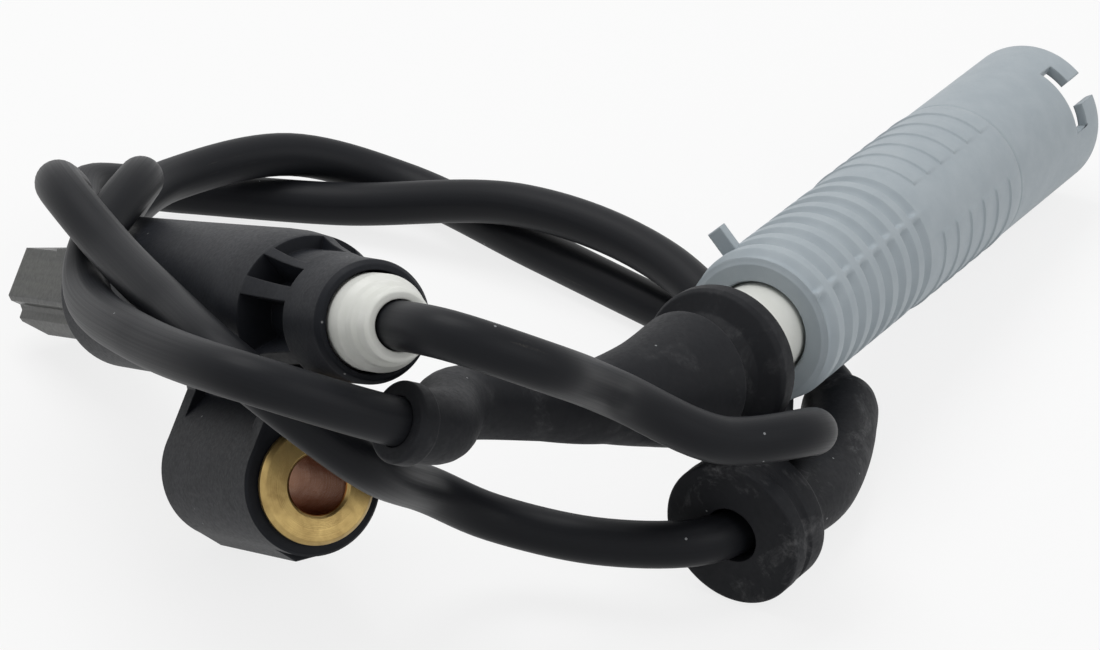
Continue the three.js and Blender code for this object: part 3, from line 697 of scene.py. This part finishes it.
def turned_brass():
    """Turned brass with fine rings and duller, darker patches; the bore is painted darker and
    redder as painted shade.
    """
    n = Nodes("brass")
    across = n.local(BUSH)
    parts = n.add("ShaderNodeSeparateXYZ", {"Vector": across})
    radius = n.math("SQRT", n.math("ADD", n.math("POWER", parts.outputs["Y"], 2.0),
                                   n.math("POWER", parts.outputs["Z"], 2.0)))
    ring_at = n.add("ShaderNodeCombineXYZ", {"X": n.math("MULTIPLY", radius, 6.0),
                                             "Y": n.math("MULTIPLY", parts.outputs["X"], 6.0)})
    rings = n.noise(ring_at.outputs["Vector"], 1.0, 4, 0.6)
    tarnish = n.noise(n.place(), 0.45, 4, 0.6, 0.5)
    dulled = n.ramp(tarnish, (0.35, 0.0), (0.7, 1.0))
    colour = n.mix(dulled, (0.44, 0.315, 0.125), (0.30, 0.205, 0.08))
    # Painted shade: the bore of the bush is coloured darker and redder than the brass outside it.
    inside = n.math("LESS_THAN", radius, BORE_SHADE_R)
    colour = n.mix(inside, colour, (0.30, 0.115, 0.03))
    normal = n.bump(rings, 0.8, 0.06, n.eased(0.15))
    return n.done(colour, n.spread(tarnish, 0.28, 0.42), normal, metallic=1.0)


def olive_resin():
    """Glossy olive resin with pale flow streaks along the tip."""
    n = Nodes("olive_resin")
    long_way = n.local(HEAD, (0.035, 0.9, 0.9))
    streak = n.noise(long_way, 1.0, 4, 0.55, 0.3)
    fine = n.noise(n.place(), 2.0, 5, 0.6)
    flow = n.ramp(streak, (0.45, 0.0), (0.72, 1.0))
    colour = n.mix(flow, (0.0085, 0.0095, 0.0068), (0.026, 0.028, 0.02))
    normal = n.bump(fine, 0.4, 0.015, n.eased(0.3))
    return n.done(colour, n.spread(fine, 0.3, 0.42), normal, specular=0.25)


def bare_metal(name, base, dull):
    """Plated metal, faintly clouded."""
    n = Nodes(name)
    cloud = n.noise(n.place(), 0.8, 4, 0.6)
    fine = n.noise(n.place((0.3, 3, 3)), 1.5, 4, 0.6)
    normal = n.bump(fine, 0.3, 0.01)
    return n.done(n.mix(cloud, base, dull), n.spread(fine, 0.28, 0.42), normal, metallic=1.0)


BLACK = (0.0085, 0.0095, 0.0125), (0.0125, 0.0138, 0.0175)
GREY = (0.345, 0.392, 0.425), (0.38, 0.427, 0.458)
WHITE = (0.70, 0.71, 0.665), (0.75, 0.755, 0.72)
RED = (0.28, 0.05, 0.02), (0.34, 0.075, 0.03)
BLUE = (0.02, 0.055, 0.16), (0.03, 0.07, 0.2)
BROWN = (0.075, 0.035, 0.018), (0.1, 0.05, 0.028)
CHARCOAL = (0.008, 0.008, 0.009), (0.014, 0.014, 0.015)
TIN = (0.66, 0.63, 0.57), (0.48, 0.46, 0.43)
STEEL = (0.2, 0.2, 0.21), (0.14, 0.14, 0.15)

MATERIALS = {
    "black_plastic": moulded("black_plastic", *BLACK, rough=0.5, dust=0.14, specular=0.12),
    "black_rubber": rubber("black_rubber", 0.22),
    "grommet_rubber": rubber("grommet_rubber", 0.6),
    "cable_jacket": cable_skin(),
    "grey_plastic": moulded("grey_plastic", *GREY, rough=0.52, dust=0.03, edge=0.3, specular=0.4),
    "white_plastic": moulded("white_plastic", *WHITE, rough=0.42),
    "seal_rubber": moulded("seal_rubber", *RED, rough=0.55),
    "core_blue": moulded("core_blue", *BLUE, rough=0.45),
    "core_brown": moulded("core_brown", *BROWN, rough=0.45),
    "chip": moulded("chip", *CHARCOAL, rough=0.4),
    "olive_resin": olive_resin(),
    "brass": turned_brass(),
    "tinned": bare_metal("tinned", *TIN),
    "magnet": bare_metal("magnet", *STEEL),
}


# Cable: one smooth tube that follows the resting course.

def cable():
    distances = np.linspace(0, CABLE_LENGTH, CABLE_RINGS)
    points, us, vs = frames_along(distances)
    angles = np.arange(CABLE_SIDES) * 2 * math.pi / CABLE_SIDES
    rings = [
        [c + CABLE_R * (math.cos(a) * u + math.sin(a) * v) for a in angles]
        for c, u, v in zip(points, us, vs)
    ]
    uv = [(d, abs(a - math.pi)) for d in distances for a in angles]
    obj = make("cable", *loft(rings, capped=True), uv=uv)
    return put(obj, "cable_jacket", "cable_jacket", "sensor_cable"), points


cable_piece, cable_points = cable()


# Head.

def housing():
    skin = split(rounded(HOUSING_PROFILE), HEAD_STEP)
    body = make("housing", *lathe(skin, HEAD_SIDES), HEAD)

    # Ear: a round eye with a flat foot, joined to the barrel by a narrow web.
    outline = [(-WEB_HALF, z) for z in WEB_Z]
    for a in np.linspace(*EAR_ARC, EAR_ARC_POINTS):
        a = math.radians(a)
        outline.append((EAR_R * math.cos(a), -BUSH_DROP + EAR_R * math.sin(a)))
    outline += [(WEB_HALF, z) for z in reversed(WEB_Z)]
    eye = prism(outline, EAR_BACK, EAR_FRONT, EAR_CHAMFER)
    foot = prism(FOOT_SECTION, EAR_BACK, EAR_FRONT - FOOT_SHORT, FOOT_CHAMFER)
    carve(body, [make("ear", *eye, HEAD), make("foot", *foot, HEAD)], "UNION")

    tools = []
    for side in (-1, 1):
        section = [(side * y, z) for y, z in POCKET_SECTION]
        pocket = prism(section, EAR_BACK + POCKET_RIM, EAR_FRONT - POCKET_RIM)
        tools.append(make("pocket", *pocket, HEAD))
    for start, stop in WINDOW_ARCS:
        for low, high in ((start, stop), (-stop, -start)):
            window = prism(arc_section(NECK_R, CUT_R, low, high), *WINDOW_X)
            tools.append(make("window", *window, HEAD))
    scoop = arc_section(SCOOP_R, CUT_R, -SCOOP_HALF_ANGLE, SCOOP_HALF_ANGLE)
    tools.append(make("scoop", *prism(scoop, *SCOOP_X), HEAD))
    collar = [(COLLAR_FLOOR, 0), (COLLAR_FLOOR, COLLAR_BORE_R), (COLLAR_MOUTH, COLLAR_BORE_R),
              (COLLAR_MOUTH, 0)]
    tools.append(make("collar", *lathe(collar), HEAD))
    tools.append(make("seat", *lathe(BUSH_SEAT), BUSH))
    tip_room = [(y * TIP_ROOM_SCALE, z * TIP_ROOM_SCALE) for y, z in TIP_SECTION]
    tools.append(make("tip_room", *prism(tip_room, *TIP_ROOM_X), HEAD))
    carve(body, tools)
    put(body, "black_plastic", "black_plastic", "sensor_housing")


def tip():
    body = make("tip", *prism(TIP_SECTION, *TIP_X, TIP_CHAMFER), HEAD)
    shoulder = prism(SHOULDER_SECTION, *SHOULDER_X, SHOULDER_CHAMFER)
    carve(body, [make("shoulder", *shoulder, HEAD)], "UNION")
    verts = [(x, y, z) for y in (-KEEL_CUT_HALF, KEEL_CUT_HALF) for x, z in KEEL_CUT]
    faces = [(0, 1, 2, 3), (7, 6, 5, 4), (0, 4, 5, 1), (1, 5, 6, 2), (2, 6, 7, 3), (3, 7, 4, 0)]
    carve(body, [make("keel_cut", verts, faces, HEAD)])
    put(body, "olive_resin", "olive_resin", "tip_carrier")


def bush():
    profile = split(rounded(BUSH_PROFILE), HEAD_STEP)
    body = make("bush", *lathe(profile, HEAD_SIDES, closed=True), BUSH)
    put(body, "brass", "brass", "mounting_bush")


def seal():
    body = make("seal", *lathe(rounded(SEAL_PROFILE), SEAL_SIDES, closed=True), HEAD)
    put(body, "white_plastic", "white_plastic", "cable_seal")


housing()
tip()
bush()
seal()


# Grommet disc, its spout, and the boot.

def disc():
    profile = split(rounded(DISC_PROFILE), DISC_STEP)
    body = make("grommet", *lathe(profile, DISC_SIDES, closed=True), DISC)
    return put(body, "grommet_rubber", "black_rubber", "body_grommet")


def spout():
    outer = split(rounded(SPOUT_PROFILE), SPOUT_STEP)
    back = split([(SPOUT_END, GRIP_R), (SPOUT_START, GRIP_R)], SPOUT_STEP)
    body = make("spout", *bent(outer + back[1:-1], SPOUT_SIDES))
    return put(body, "grommet_rubber", "black_rubber", "body_grommet")


def boot():
    outer = split(rounded(BOOT_PROFILE), BOOT_STEP)
    back = split([(BOOT_FACE, GRIP_R), (BOOT_LIP, GRIP_R)], BOOT_BORE_STEP)
    profile = [(SLEEVE_STATION + x, r) for x, r in outer + back[1:-1]]
    body = make("boot", *bent(profile, BOOT_SIDES))
    return put(body, "black_rubber", "black_rubber", "connector_boot")


disc_piece = disc()
spout_piece = spout()
boot_piece = boot()


# Connector sleeve with its ribs, ramped pads, parting line and T-shaped slots.

def sleeve_radius(x, degrees):
    """Outer radius at one distance from the near face, for each angle round the axis."""
    radius = np.full(degrees.shape, SLEEVE_R)
    bridges = [np.clip(1 - abs(degrees - a) / BRIDGE_HALF_ANGLE, 0, 1) for a in BRIDGE_ANGLES]
    bridge = np.minimum(1, np.maximum(*bridges) * BRIDGE_GAIN)
    for i in range(RIB_COUNT):
        reach = abs(x - (RIB_START + i * RIB_PITCH + RIB_SHIFT)) / RIB_HALF
        if reach < 1:
            depth = RIB_DEPTH * math.cos(reach * math.pi / 2) ** RIB_POWER
            radius = np.minimum(radius, SLEEVE_R - depth * (1 - bridge))
    for i in range(PAD_COUNT):
        past = x - (PAD_START + i * PAD_PITCH)
        if 0 <= past < PAD_LENGTH:
            height = PAD_HEIGHT * (1 - past / PAD_LENGTH)
            for low, high in PAD_ARCS:
                inside = np.clip(np.minimum(degrees - low, high - degrees), 0, 1)
                wrapped = np.clip(np.minimum(degrees + 360 - low, high - degrees - 360), 0, 1)
                radius = radius + height * np.maximum(inside, wrapped)
    if abs(x - LINE_AT) < LINE_HALF:
        radius = radius - LINE_DEPTH * (1 - abs(x - LINE_AT) / LINE_HALF)
    return radius


def sleeve_stations():
    """Distances of the outer rings: close over the ribs, the ramps and the parting line."""
    ribs_end = RIB_START + (RIB_COUNT - 1) * RIB_PITCH + RIBS_RUN_OUT
    xs = list(np.arange(RIBS_FIRST_RING, ribs_end, RIB_RING_STEP))
    for i in range(PAD_COUNT):
        xs += [PAD_START + i * PAD_PITCH + step for step in PAD_RINGS]
    xs += [LINE_AT + step for step in LINE_RINGS]
    return sorted(xs + PLAIN_RINGS)


def sleeve():
    degrees = np.arange(SLEEVE_SIDES) * 360 / SLEEVE_SIDES
    ring = circle(SLEEVE_SIDES)
    rings = []

    def ring_at(x, radius):
        sized = ring * np.reshape(np.broadcast_to(radius, SLEEVE_SIDES), (-1, 1))
        rings.append(np.column_stack([np.full(SLEEVE_SIDES, x), sized]))

    for x, r in rounded(NEAR_LIP):
        ring_at(x, r)
    for x in sleeve_stations():
        ease = NEAR_EASE * max(0, NEAR_EASE_END - x) / NEAR_EASE_END
        ring_at(x, sleeve_radius(x, degrees) - ease)
    for back, r in FAR_LIP:
        ring_at(SLEEVE_LENGTH - back, r)
    for x in BORE_RINGS:
        ring_at(x, SLEEVE_BORE_R)
    ring_at(SLEEVE_WALL_END, SLEEVE_BORE_R - 0.2)
    ring_at(SLEEVE_WALL_END, SLEEVE_MOUTH_R)
    body = make("sleeve", *loft(rings, closed=True), CONNECTOR)

    tools = []
    for a in SLOT_ANGLES:
        slot = arc_section(*SLOT_R, a - SLOT_HALF_ANGLE, a + SLOT_HALF_ANGLE)
        mouth = arc_section(*MOUTH_R, a - MOUTH_HALF_ANGLE, a + MOUTH_HALF_ANGLE)
        tools.append(make("slot", *prism(slot, *SLOT_X), CONNECTOR))
        tools.append(make("mouth", *prism(mouth, *MOUTH_X), CONNECTOR))
    carve(body, tools)
    return put(body, "grey_plastic", "grey_plastic", "connector_sleeve")


def tab():
    low, high = TAB_R
    section = [(-TAB_HALF, low), (TAB_HALF, low), (TAB_HALF, high), (-TAB_HALF, high)]
    at = CONNECTOR @ turn("X", -math.radians(TAB_ANGLE))
    body = make("tab", *prism(section, *TAB_X, TAB_CHAMFER), at)
    return put(body, "grey_plastic", "grey_plastic", "connector_sleeve")


def retainer():
    profile = rounded(RETAINER_PROFILE)
    body = make("retainer", *lathe(profile, RETAINER_SIDES, closed=True), CONNECTOR)
    return put(body, "white_plastic", "white_plastic", "boot_retainer")


sleeve_piece = sleeve()
tab_piece = tab()
retainer_piece = retainer()


# The other nodes keep their own shape and take their finish.

CARRIED = {
    "plug_insert": "black_plastic",
    "interface_seal": "seal_rubber",
    "sensor_ic": "chip",
    "bias_magnet": "magnet",
    "terminal_strip_a": "tinned",
    "terminal_strip_b": "tinned",
    "splice_crimp_a": "tinned",
    "splice_crimp_b": "tinned",
    "head_core_a": "core_blue",
    "head_core_b": "core_brown",
    "contact_pin_a": "tinned",
    "contact_pin_b": "tinned",
    "wire_seal_a": "seal_rubber",
    "wire_seal_b": "seal_rubber",
    "plug_core_a": "core_blue",
    "plug_core_b": "core_brown",
}

for node, name in CARRIED.items():
    data = frame["nodes"][node].data
    data.materials.clear()
    data.materials.append(MATERIALS[name])

on_cable = [disc_piece, spout_piece, boot_piece, sleeve_piece, tab_piece, retainer_piece]
on_cable += [frame["nodes"][node] for node in (
    "plug_insert", "interface_seal", "contact_pin_a", "contact_pin_b", "wire_seal_a", "wire_seal_b",
    "plug_core_a", "plug_core_b",
)]


# Studio: pale floor, soft light from above and white surroundings.

def floor():
    verts = [(x * FLOOR_HALF, y * FLOOR_HALF, 0) for x, y in ((-1, -1), (1, -1), (1, 1), (-1, 1))]
    obj = make("floor", verts, [(0, 1, 2, 3)])
    n = Nodes("floor")
    path = n.add("ShaderNodeLightPath")
    seen = n.math("MAXIMUM", path.outputs["Is Camera Ray"], path.outputs["Is Glossy Ray"])
    seen = n.math("MAXIMUM", seen, path.outputs["Is Transmission Ray"])
    grain = n.noise(n.place(), 0.05, 2)
    n.done(n.mix(grain, (0.82, 0.82, 0.82), (0.84, 0.84, 0.84)), 0.9, specular=0.1)
    glow = n.add("ShaderNodeEmission", {"Color": (1, 1, 1, 1), "Strength": 1.0})
    mix = n.add("ShaderNodeMixShader")
    n.feed(n.math("MULTIPLY", seen, FLOOR_GLOW), mix.inputs["Fac"])
    n.feed(n.shader.outputs["BSDF"], mix.inputs[1])
    n.feed(glow.outputs["Emission"], mix.inputs[2])
    output = n.tree.nodes["Material Output"]
    n.feed(mix.outputs["Shader"], output.inputs["Surface"])
    obj.data.materials.append(n.material)


def world():
    data = bpy.data.worlds.new("studio")
    bpy.context.scene.world = data
    data.use_nodes = True
    nodes, links = data.node_tree.nodes, data.node_tree.links
    background = nodes["Background"]
    background.inputs["Color"].default_value = (1, 1, 1, 1)
    path = nodes.new("ShaderNodeLightPath")
    first = nodes.new("ShaderNodeMath")
    first.operation = "MAXIMUM"
    second = nodes.new("ShaderNodeMath")
    second.operation = "MAXIMUM"
    level = nodes.new("ShaderNodeMapRange")
    level.inputs["To Min"].default_value = AMBIENT
    level.inputs["To Max"].default_value = BACKDROP
    links.new(path.outputs["Is Camera Ray"], first.inputs[0])
    links.new(path.outputs["Is Glossy Ray"], first.inputs[1])
    links.new(first.outputs["Value"], second.inputs[0])
    links.new(path.outputs["Is Transmission Ray"], second.inputs[1])
    links.new(second.outputs["Value"], level.inputs["Value"])
    links.new(level.outputs["Result"], background.inputs["Strength"])


def lamp(name, at, power):
    data = bpy.data.lights.new(name, "AREA")
    data.size = LAMP_SIZE
    data.energy = power
    obj = bpy.data.objects.new(name, data)
    obj.location = at
    obj.rotation_euler = (Vector(LAMP_TARGET) - Vector(at)).to_track_quat("-Z", "Y").to_euler()
    bpy.context.scene.collection.objects.link(obj)


floor()
world()
for lamp_name, (lamp_at, lamp_power) in LAMPS.items():
    lamp(lamp_name, lamp_at, lamp_power)

bpy.context.scene.view_settings.view_transform = "Standard"
